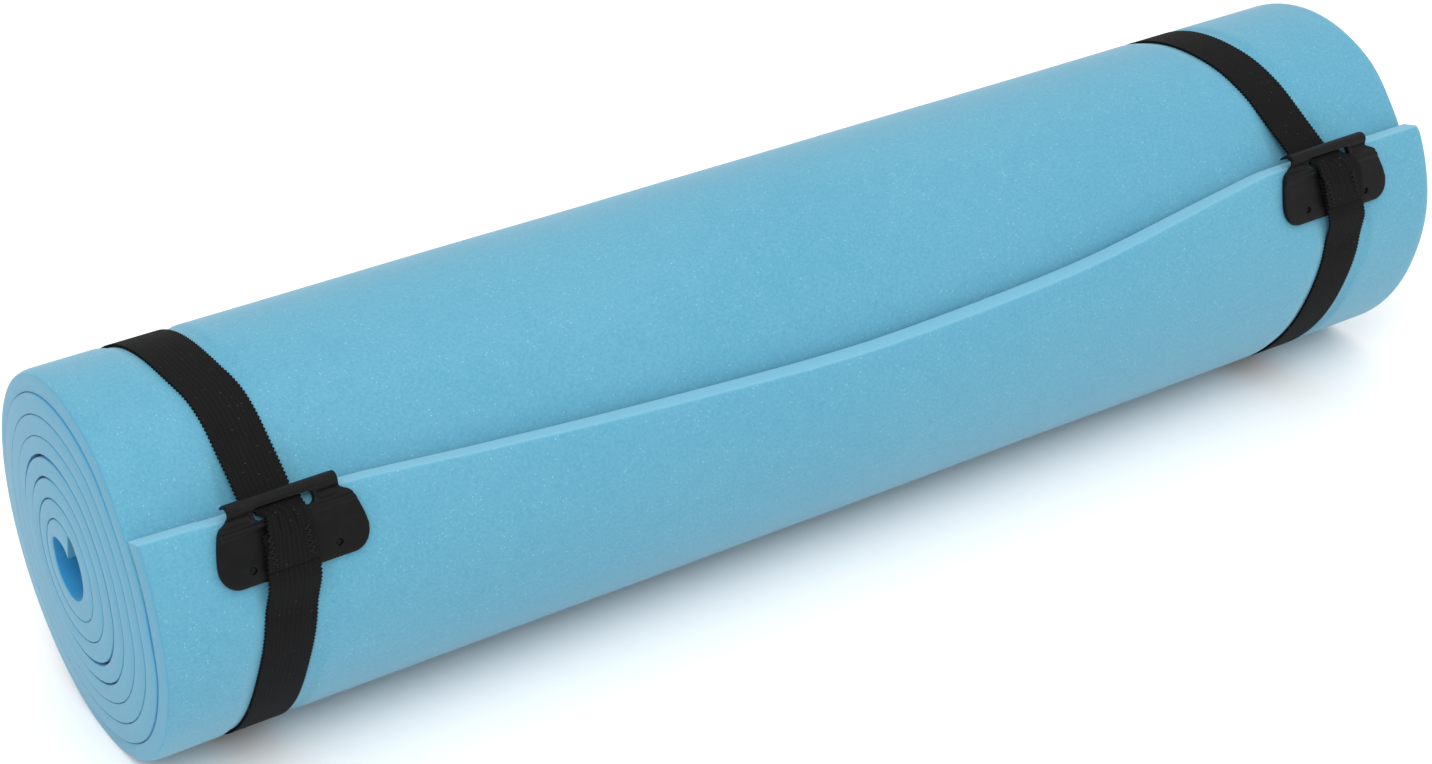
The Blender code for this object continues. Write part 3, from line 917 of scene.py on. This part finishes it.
        share = 1 - (y * y + z * z) / winding.outer_size**2
        x = flat[:, 0] + pushed - winding.telescope * np.maximum(share, 0)
        x += self.near_setback * outermost * (1 - smooth_step(flat[:, 0], *self.setback_end))
        ground = self.strap_lift * pressed - winding.axis_height
        return np.stack([x, y, np.maximum(z, ground) + winding.axis_height], axis=1)

    def build(self, material: Material) -> Workpiece:
        """Makes the mat, dresses it and fixes it to the roll."""
        columns, rows = self.columns(), self.rows()
        piece, column, row = Workpiece.grid("mat_roll", len(columns), len(rows))
        piece.place(np.stack([columns[column], rows[row], np.zeros(len(row))], axis=1))
        piece.modify("SOLIDIFY", thickness=self.thickness, offset=1.0)
        corner = math.radians(60)
        piece.modify("BEVEL", width=self.rim, segments=4, limit_method="ANGLE", angle_limit=corner)
        flat = piece.points()
        flat[:, 2] -= flat[:, 2].min()
        half = self.winding.mat_width / 2
        margin = np.minimum(half - np.abs(flat[:, 0]), rows[-1] - flat[:, 1])
        turn = self.winding.turn_at(flat[:, 1])
        outside = (flat[:, 2] > self.thickness / 2) * (1 - smooth_step(turn, *self.shown_end))
        piece.mark("cut", 1 - smooth_step(margin, 0.1 * MM, self.rim))
        # The free edge's cut face is marked for its painted highlight.
        piece.mark("edge", 1 - smooth_step(flat[:, 1], 0.15 * MM, 0.5 * MM))
        # Faces inside the roll are marked for their painted shade.
        piece.mark("inside", (1 - outside) * smooth_step(margin, 0.0, self.rim))
        piece.place(self.rolled(self.squared(flat)))
        piece.outward()
        piece.soften()
        piece.finish("roll", "foam", material, "foam_mat")
        return piece


# --- clips ---


@dataclass
class ClipPlate:
    """A clip's moulded front plate: lip, ridge bar, channel with the strap's slot, and leaf."""

    winding: Winding
    line: StrapLine
    tangent_angle: float = 25.0
    blank_width: float = 60 * MM
    blank_depth: float = 40 * MM
    slot_length: float = 19.2 * MM
    slot_height: float = 3.7 * MM
    slot_corner: float = 1.7 * MM
    slot_shift: float = -0.2 * MM
    slot_s: float = -2.1 * MM
    collar: float = 1.1 * MM
    collar_base: float = 0.8 * MM
    collar_top: float = 2.45 * MM
    slot_cut: Pair = (-5 * MM, 12 * MM)
    hole_places: Pair = (-13.8 * MM, 13.8 * MM)
    hole_s: float = -17.1 * MM
    hole_radius: float = 1.1 * MM
    hole_depth: float = 7 * MM
    hole_middle: float = 1.5 * MM
    voxel: float = 0.26 * MM
    outer_profile: Pairs = (
        (3.0, -2.7), (3.3, -0.8), (3.3, 1.2), (2.8, 2.8), (1.7, 3.7), (0.3, 3.7), (-0.7, 2.9),
        (-1.7, 1.8), (-3.0, 2.1), (-4.1, 2.9), (-4.8, 2.3), (-5.5, 2.8), (-6.5, 2.4),
        (-7.6, 2.1), (-14.0, 2.1), (-20.7, 2.0), (-21.5, 1.4),
    )
    inner_profile: Pairs = (
        (-21.5, 0.3), (-14.0, 0.3), (-8.0, 0.3), (-1.5, 0.3), (-0.6, 1.9), (0.7, 2.1),
        (1.8, 1.2), (2.2, -0.6), (2.3, -2.7),
    )
    half_outline: Pairs = (
        (17.6, 4.5), (17.6, 0.4), (18.3, -1.8), (20.6, -3.2), (21.9, -5.4), (23.2, -9.5),
        (24.0, -13.9), (23.6, -17.0), (22.3, -19.3), (20.4, -20.8), (18.0, -21.5),
    )

    def clip_angle(self, s: Array) -> Array:
        """The angle round the roll at a place along the mat's skin."""
        return self.winding.edge_angle + np.degrees(np.asarray(s, float) / self.winding.outer_size)

    def at(self, s: Array, w: Array) -> Array:
        """The places at s along the mat's skin and w out of it, on the clip's middle line."""
        angle = self.clip_angle(s)
        turn = np.maximum(self.winding.turn(angle), 0.0)
        y, z = self.winding.across(angle, self.winding.outer(turn) + w)
        x = np.full_like(y, self.line.clip_centre)
        return np.stack([x, y, z + self.winding.axis_height], axis=-1)

    def side_view(self) -> Array:
        """The plate's closed side profile, at its left."""
        outer = smooth_curve(np.array(self.outer_profile) * MM, 5)
        inner = smooth_curve(np.array(self.inner_profile) * MM, 5)
        both = np.vstack([outer, inner])
        return self.at(both[:, 0], both[:, 1]) - (self.blank_width / 2, 0, 0)

    def plan_view(self) -> tuple[Array, Vector]:
        """The plate's outline seen square to its middle, and the way to sweep it."""
        up, out = self.winding.frame(self.tangent_angle)
        x, s = (smooth_curve(self.half_outline, 5) * MM).T
        rise = np.radians(self.clip_angle(s) - self.tangent_angle)
        high = (self.winding.outer_size + 2 * MM) * np.sin(rise)
        x = np.concatenate([x, -x[::-1]])
        high = np.concatenate([high, high[::-1]])
        middle = Vector((self.line.clip_centre, 0, self.winding.axis_height))
        middle += out * (self.winding.outer_size - self.blank_depth / 2)
        flat = np.outer(x, (1, 0, 0)) + np.outer(high, up) + np.array(middle)
        return flat, out * self.blank_depth

    def slot_outline(self, grow: float, base: float) -> tuple[Array, Vector]:
        """The slot's rounded outline, larger all round, from a height above the mat's skin."""
        half_x = self.slot_length / 2 - self.slot_corner
        half_y = self.slot_height / 2 - self.slot_corner
        corner = self.slot_corner + grow
        turned = np.radians(np.arange(0, 360, 10) + 5.0)
        x = np.sign(np.cos(turned)) * half_x + corner * np.cos(turned)
        high = np.sign(np.sin(turned)) * half_y + corner * np.sin(turned)
        up, out = self.winding.frame(float(self.clip_angle(self.slot_s)))
        middle = self.at(self.slot_s, 0.0) + base * np.array(out) + (self.slot_shift, 0, 0)
        return np.outer(x, (1, 0, 0)) + np.outer(high, up) + middle, out

    def build(self, material: Material) -> Workpiece:
        """Makes the plate, dresses it and fixes it to the roll."""
        side = self.line.side.value
        piece = Workpiece.swept(f"{side}_clip_plate", self.side_view(), (self.blank_width, 0, 0))
        outline, sweep = self.plan_view()
        piece.combine(Workpiece.swept("trim", outline, sweep), "INTERSECT")
        outline, out = self.slot_outline(self.collar, self.collar_base)
        ring = Workpiece.swept("collar", outline, out * (self.collar_top - self.collar_base))
        piece.combine(ring, "UNION")
        outline, out = self.slot_outline(0.0, self.slot_cut[0])
        piece.combine(Workpiece.swept("slot", outline, out * self.slot_cut[1]), "DIFFERENCE")
        up, out = self.winding.frame(float(self.clip_angle(self.hole_s)))
        turn = Matrix(((1, 0, 0), up, out)).transposed()
        for x in self.hole_places:
            middle = Vector(self.at(self.hole_s, self.hole_middle) + (x, 0, 0))
            pin = Workpiece.pin(self.hole_radius, middle, self.hole_depth, turn)
            piece.combine(pin, "DIFFERENCE")
        piece.modify("REMESH", mode="VOXEL", voxel_size=self.voxel, use_smooth_shade=True)
        piece.modify("SMOOTH", factor=0.5, iterations=6)
        piece.soften(60)
        piece.finish("roll", "clip_plastic", material, f"{side}_clip_front")
        return piece


# --- straps ---


@dataclass
class Strap:
    """A knitted elastic band round the roll and through its clip, sewn over itself at its ends."""

    clip: ClipPlate
    groove_depth: float
    width: float = 16.6 * MM
    thickness: float = 0.95 * MM
    seat: float = 0.05 * MM
    ground_gap: float = 0.3 * MM
    picot_pitch: float = 1.35 * MM
    picot_height: float = 0.30 * MM
    samples: int = 4
    landing_angle: float = 5.0
    lift_angle: float = 60.0
    clip_end_angle: float = 40.0
    angle_step: float = 5.0
    lifted_steps: int = 5
    tuck: float = 0.12
    tuck_length: float = 14 * MM
    pinch: Pair = (1.0 * MM, -0.5 * MM)
    pinch_span: Pairs = ((12 * MM, 17 * MM), (21 * MM, 30 * MM))
    fold_span: Pairs = ((0, 13.5 * MM), (15.5 * MM, 19.5 * MM))
    pleat_height: float = 0.75 * MM
    pleats: float = 5.2
    crease_drift: float = 5.5 * MM
    strand_count: int = 29
    route_out: Pairs = (
        (1.9, -4.9), (1.3, -3.4), (0.85, -2.0), (0.4, -0.2), (-0.6, 1.0), (-2.1, 1.8),
        (-3.5, 3.1), (-5.2, 3.8), (-7.0, 4.1), (-8.6, 4.4), (-13.0, 4.3), (-18.4, 4.15),
    )
    route_back: Pairs = (
        (-25.6, 2.0), (-22.9, 2.9), (-20.1, 3.05), (-14.0, 3.0), (-8.2, 3.0),
    )

    def folded(self, to_end: Array) -> Array:
        """How strongly the band is folded, from 0 to 1, at a distance from its upper end."""
        return window(to_end, *self.fold_span)

    def drawn_in(self, to_end: Array, strand: Array) -> Array:
        """How far the band is drawn along X, to pass its slot and where it is folded.

        Args:
            to_end: Distances from the band's upper end.
            strand: Places across the band, from -1 to 1.

        Returns:
            The distances along X.
        """
        pinched = window(to_end, *self.pinch_span)
        folded = self.folded(to_end)
        left = self.pinch[0] * pinched + self.clip.line.fold[0] * MM * folded
        right = self.pinch[1] * pinched + self.clip.line.fold[1] * MM * folded
        return (left * (1 - strand) + right * (1 + strand)) / 2

    def lift(self, to_end: Array, strand: Array) -> Array:
        """How far the folds rise at distances from the upper end and places across the band."""
        crease = 0.5 + 0.5 * np.sin(math.pi * self.pleats * strand + to_end / self.crease_drift)
        return self.pleat_height * crease * self.folded(to_end) * (1 - 0.6 * strand**2)

    def on_clip(self, points: Sequence[Pair], past: float) -> Array:
        """Points of the route over the clip, as places across the roll and their angles."""
        s, w = np.array(points).T * MM
        places = self.clip.at(s, w)
        return np.column_stack([places[:, 1:], self.clip.clip_angle(s) + past])

    def on_foam(self) -> Array:
        """Points of the route in the groove, as places across the roll and their angles."""
        winding = self.clip.winding
        stop = self.lift_angle - 360
        angle = np.arange(self.landing_angle, stop - self.angle_step / 2, -self.angle_step)
        sunk = self.groove_depth - self.seat - self.thickness / 2
        y, z = winding.across(angle, winding.outer(winding.turn(angle)) - sunk)
        z = np.maximum(z + winding.axis_height, self.ground_gap + self.thickness / 2)
        return np.column_stack([y, z, angle])

    def route(self) -> Array:
        """The band's centre line from its lower sewn end, round the roll, to its upper one.

        Returns:
            Places in space, a quarter of a picot apart.
        """
        foam = self.on_foam()
        over = self.on_clip(self.route_out, -360)
        share = np.arange(1, self.lifted_steps)[:, None] / self.lifted_steps
        lifted = foam[-1] + (over[0] - foam[-1]) * share
        back = self.on_clip(self.route_back[::-1], 0)
        line = np.vstack([back, foam, lifted, over])
        angle = np.where(line[:, 2] < self.clip_end_angle - 360, line[:, 2] + 360, line[:, 2])
        x = self.clip.line.clip_centre + self.clip.line.stray(angle)
        path = smooth_curve(np.column_stack([x, line[:, :2]]), 10)
        return even_steps(path, self.picot_pitch / self.samples)

    def build(self, material: Material) -> Workpiece:
        """Makes the band, dresses it and lets it slide with its loop."""
        path = self.route()
        along = lengths_along(path)
        ahead = np.gradient(path[:, 1:], axis=0)
        ahead /= np.linalg.norm(ahead, axis=1)[:, None]
        outward = np.column_stack([np.zeros(len(path)), -ahead[:, 1], ahead[:, 0]])
        side = self.clip.line.side.value
        piece, column, row = Workpiece.grid(f"{side}_strap_band", self.strand_count, len(path))
        strand = np.sin(math.pi / 2 * (2 * column / (self.strand_count - 1) - 1))
        to_end = along[-1] - along[row]
        tucked = 1 - smooth_step(along[row], 0.0, self.tuck_length)
        half = self.width / 2 * (1 - self.tuck * tucked)
        picot = np.cos(math.tau * along[row] / self.picot_pitch) * self.picot_height
        across = strand * half + np.where(np.abs(strand) > 0.99, np.sign(strand) * picot, 0.0)
        across += self.drawn_in(to_end, strand)
        lift = self.lift(to_end, strand)
        piece.place(path[row] + np.outer(across, (1, 0, 0)) + outward[row] * lift[:, None])
        piece.scale_map(self.width / MM, along[-1] / MM)
        piece.modify("SOLIDIFY", thickness=self.thickness, offset=0.0)
        piece.outward()
        piece.soften(50)
        piece.finish(f"{side}_loop", "elastic", material, f"{side}_strap")
        return piece


@dataclass
class BarTack:
    """A zigzag row of thread that sews a strap's overlap."""

    strap: Strap
    row: Row
    start: float = -8.9 * MM
    pitch: float = 0.8 * MM
    stitches: int = 10
    swing: float = 0.8 * MM
    radius: float = 0.16 * MM
    steps: int = 6

    def path(self) -> Array:
        """The thread's path, which dips into the band at each turn of the zigzag."""
        clip = self.strap.clip
        count = self.stitches * self.steps
        share = np.arange(count + 1) / self.steps
        s = self.start - self.pitch * share
        zigzag = np.abs(np.mod(share, 2) - 1) * 2 - 1
        dip = np.abs(np.cos(math.pi * share)) ** 3
        low, high = np.array(self.strap.route_out[::-1]).T * MM
        base = np.interp(s, low, high) + self.strap.thickness / 2
        base += self.strap.lift(s - low[0], np.full(len(s), self.row.value * 2 / self.strap.width))
        w = base + self.radius * (0.9 - 1.6 * dip)
        places = clip.at(s, w)
        places[:, 0] += self.row.value + clip.line.stray(clip.clip_angle(s)) + self.swing * zigzag
        return places

    def build(self, material: Material) -> Workpiece:
        """Makes the row, dresses it and lets it slide with its strap."""
        side = self.strap.clip.line.side.value
        name = self.row.name.lower()
        piece = Workpiece.thread(f"{side}_thread_{name}", self.path(), self.radius)
        piece.soften()
        piece.finish(f"{side}_loop", "thread", material, f"{side}_stitch_{name}")
        return piece


# --- studio ---


@dataclass(frozen=True)
class Studio:
    """A pale floor, soft light and the camera."""

    camera_place: Triple = (-0.49167, -0.71659, 0.56088)
    azimuth: float = 33.35
    pitch: float = 30.76
    lens: float = 73.63
    sensor: float = 36.0
    floor_size: float = 12.0
    floor_colour: Triple = (0.95, 0.95, 0.95)
    floor_shade: Triple = (0.93, 0.93, 0.93)
    sky: Pair = (0.6, 1.36)
    lit_point: Triple = (0.0, 0.0, 0.06)
    key: tuple[Triple, float, float] = ((-0.7, -0.9, 1.6), 1.4, 16.0)
    fill: tuple[Triple, float, float] = ((1.3, -1.4, 0.9), 1.6, 5.0)

    @staticmethod
    def stand(data: bpy.types.ID, place: Sequence[float], turn: Sequence[float]) -> Any:
        """Stands a camera or a light in its place, turned its way."""
        obj = bpy.data.objects.new(data.name, data)
        obj.location = place
        obj.rotation_euler = turn
        bpy.context.scene.collection.objects.link(obj)
        return obj

    def camera(self) -> None:
        """Sets the camera up."""
        data = bpy.data.cameras.new("camera")
        data.lens = self.lens
        data.sensor_width = self.sensor
        turn = (math.radians(90 - self.pitch), 0, math.radians(-self.azimuth))
        bpy.context.scene.camera = self.stand(data, self.camera_place, turn)

    def floor(self) -> None:
        """Lays the pale floor, which isn't part of the object."""
        Workpiece.clear_selection()
        bpy.ops.mesh.primitive_plane_add(size=self.floor_size)
        floor = Workpiece.named("floor")
        graph = Graph("pale_floor")
        cloud = graph.noise(graph.place(), 0.4, detail=2)
        colour = graph.blend(cloud, self.floor_colour, self.floor_shade)
        floor.obj.data.materials.append(graph.dress(Base_Color=colour, Roughness=0.9))

    def lamp(self, name: str, place: Sequence[float], size: float, watts: float) -> None:
        """Adds a square soft light that faces the roll.

        Args:
            name: Its name.
            place: Where it stands.
            size: The length of its sides.
            watts: Its power.
        """
        data = bpy.data.lights.new(name, "AREA")
        data.size = size
        data.energy = watts
        towards = Vector(self.lit_point) - Vector(place)
        self.stand(data, place, towards.to_track_quat("-Z", "Y").to_euler())

    def light(self) -> None:
        """Sets up a sky that is brighter overhead, and two soft lights."""
        world = bpy.data.worlds.new("sky")
        world.use_nodes = True
        nodes, links = world.node_tree.nodes, world.node_tree.links
        direction = nodes.new("ShaderNodeTexCoord")
        split = nodes.new("ShaderNodeSeparateXYZ")
        strength = nodes.new("ShaderNodeMapRange")
        strength.inputs["To Min"].default_value, strength.inputs["To Max"].default_value = self.sky
        links.new(direction.outputs["Generated"], split.inputs[0])
        links.new(split.outputs["Z"], strength.inputs["Value"])
        nodes["Background"].inputs["Color"].default_value = (1, 1, 1, 1)
        links.new(strength.outputs[0], nodes["Background"].inputs["Strength"])
        bpy.context.scene.world = world
        self.lamp("soft_key", *self.key)
        self.lamp("soft_fill", *self.fill)

    def build(self) -> None:
        """Sets the whole studio up, with colours shown as they are."""
        bpy.context.scene.view_settings.view_transform = "Standard"
        self.camera()
        self.floor()
        self.light()


@dataclass
class SleepingPad:
    """The whole object: mat, clips, straps and their stitching."""

    winding: Winding = field(default_factory=Winding)
    foam: FoamFinish = field(default_factory=FoamFinish)
    plastic: PlasticFinish = field(default_factory=PlasticFinish)
    elastic: ElasticFinish = field(default_factory=ElasticFinish)
    thread: ThreadFinish = field(default_factory=ThreadFinish)

    def build(self, nodes: dict[str, bpy.types.Object]) -> None:
        """Builds every piece.

        Args:
            nodes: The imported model's solids by name.
        """
        mat = RolledMat(self.winding, STRAP_LINES)
        mat.build(self.foam.make())
        plastic = self.plastic.make()
        elastic = self.elastic.make()
        thread = self.thread.make()
        for line in STRAP_LINES:
            clip = ClipPlate(self.winding, line)
            clip.build(plastic)
            back = nodes[f"{line.side.value}_clip_back"]
            for place in back.material_slots:
                place.material = plastic
            strap = Strap(clip, mat.groove_depth)
            strap.build(elastic)
            for row in Row:
                BarTack(strap, row).build(thread)


def main() -> None:
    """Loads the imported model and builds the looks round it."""
    logging.basicConfig(level=logging.INFO, format="%(name)s %(message)s")
    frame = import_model()
    Studio().build()
    SleepingPad().build(frame["nodes"])


if __name__ == "__main__":
    main()
